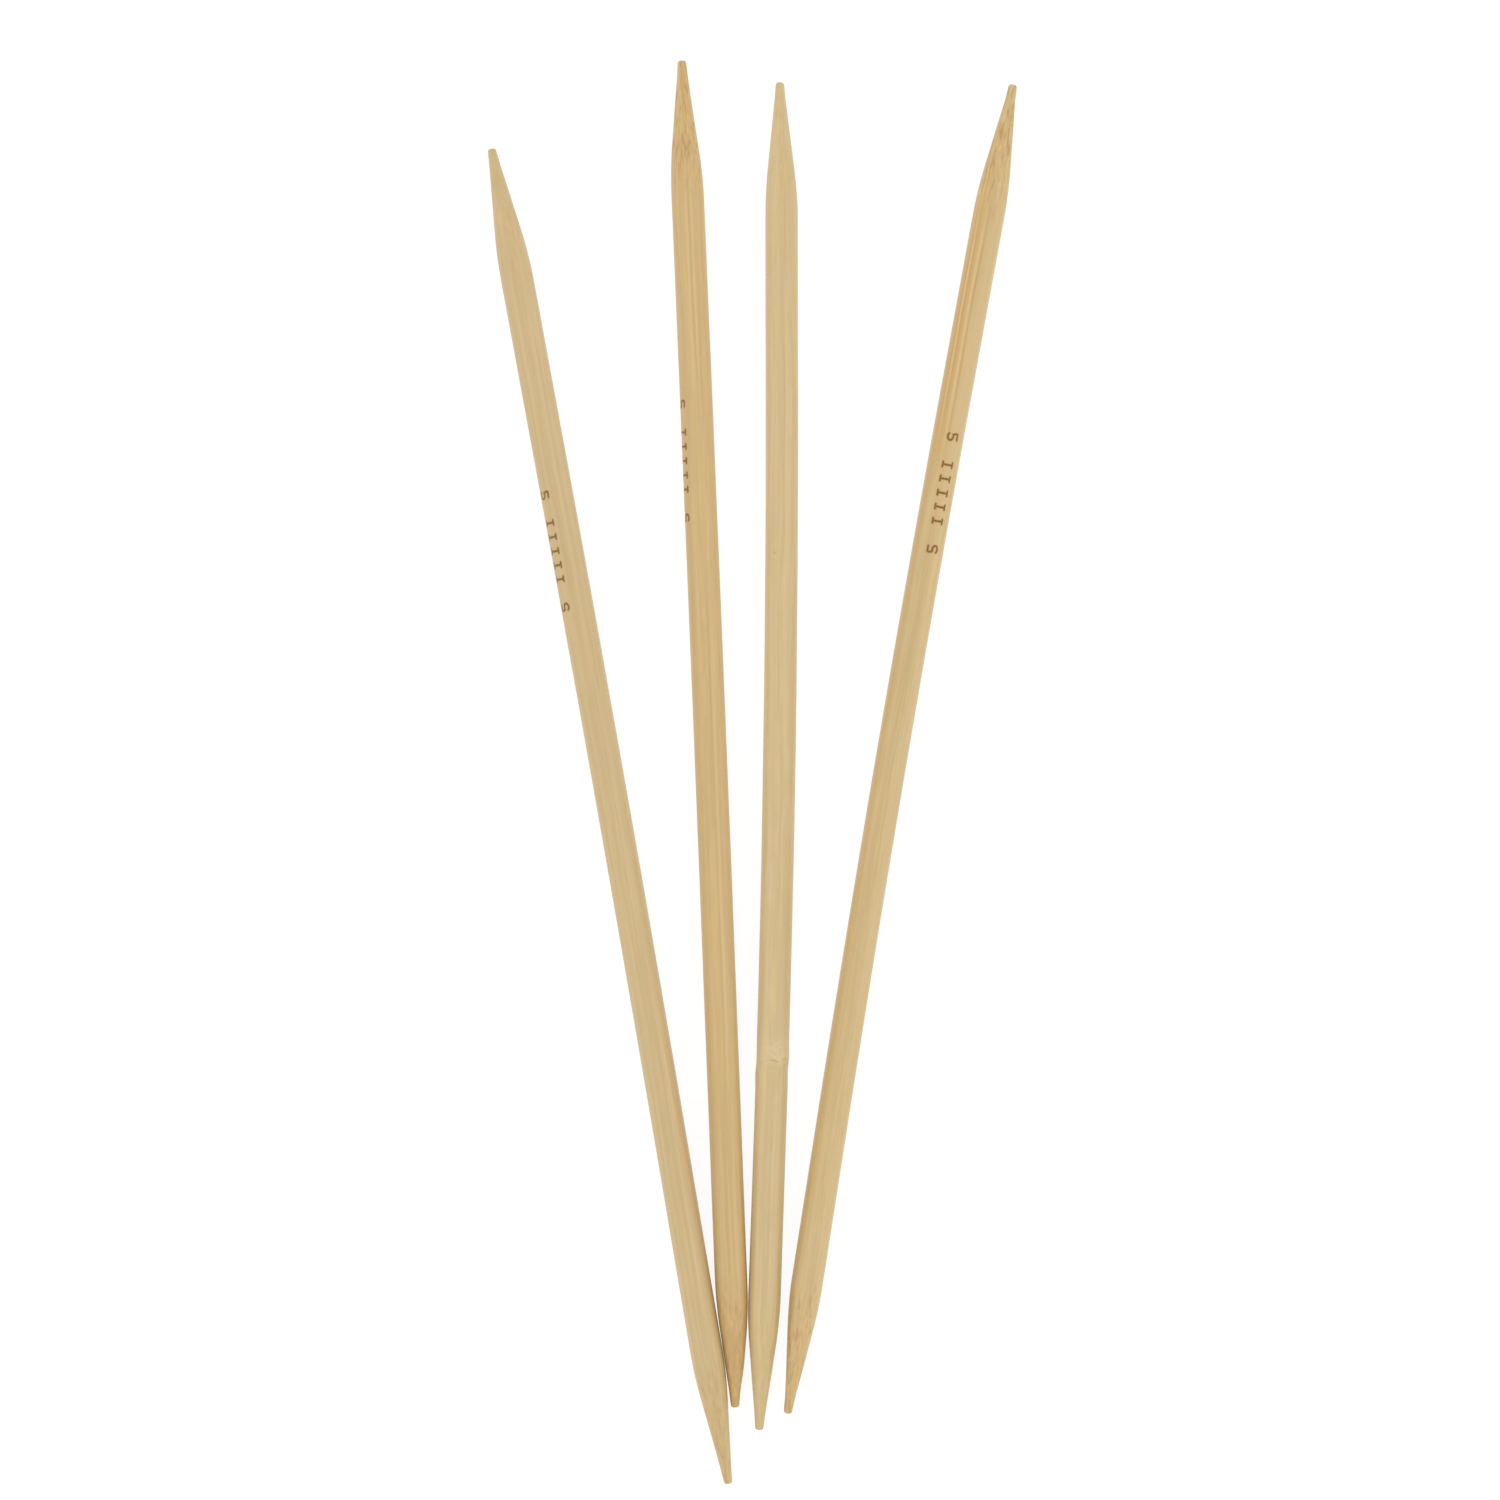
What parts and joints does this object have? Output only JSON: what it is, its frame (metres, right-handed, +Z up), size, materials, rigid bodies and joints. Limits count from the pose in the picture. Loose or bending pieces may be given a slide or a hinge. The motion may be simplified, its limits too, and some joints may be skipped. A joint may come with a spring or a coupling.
{
  "type": "double-pointed knitting needles",
  "caption": "Slim round bamboo knitting needles with a long taper to a blunt rounded point at both ends, lying loose in a narrow fan on a flat surface.",
  "frame": {"origin": "on the surface the needles lie on, under the middle of the fan", "axes": "+Y up the fan, from the gathered ends to the spread ends; +X across it, to the right when seen from above; +Z up from the surface"},
  "size_m": [0.0796, 0.2146, 0.005],
  "materials": {
    "bamboo": "turned and polished bamboo with a thin wax, satin, with fine straight fibres"
  },
  "bodies": {
    "needle_1": {"needle_1": "bamboo"},
    "needle_2": {"needle_2": "bamboo"},
    "needle_3": {"needle_3": "bamboo"},
    "needle_4": {"needle_4": "bamboo"}
  },
  "joints": [
    {"name": "needle_1_lift", "type": "slide", "parent": "needle_2", "child": "needle_1", "axis": [0, 0, 1], "range_m": [0, 0.06]},
    {"name": "needle_3_lift", "type": "slide", "parent": "needle_2", "child": "needle_3", "axis": [0, 0, 1], "range_m": [0, 0.06]},
    {"name": "needle_4_lift", "type": "slide", "parent": "needle_2", "child": "needle_4", "axis": [0, 0, 1], "range_m": [0, 0.06]}
  ]
}
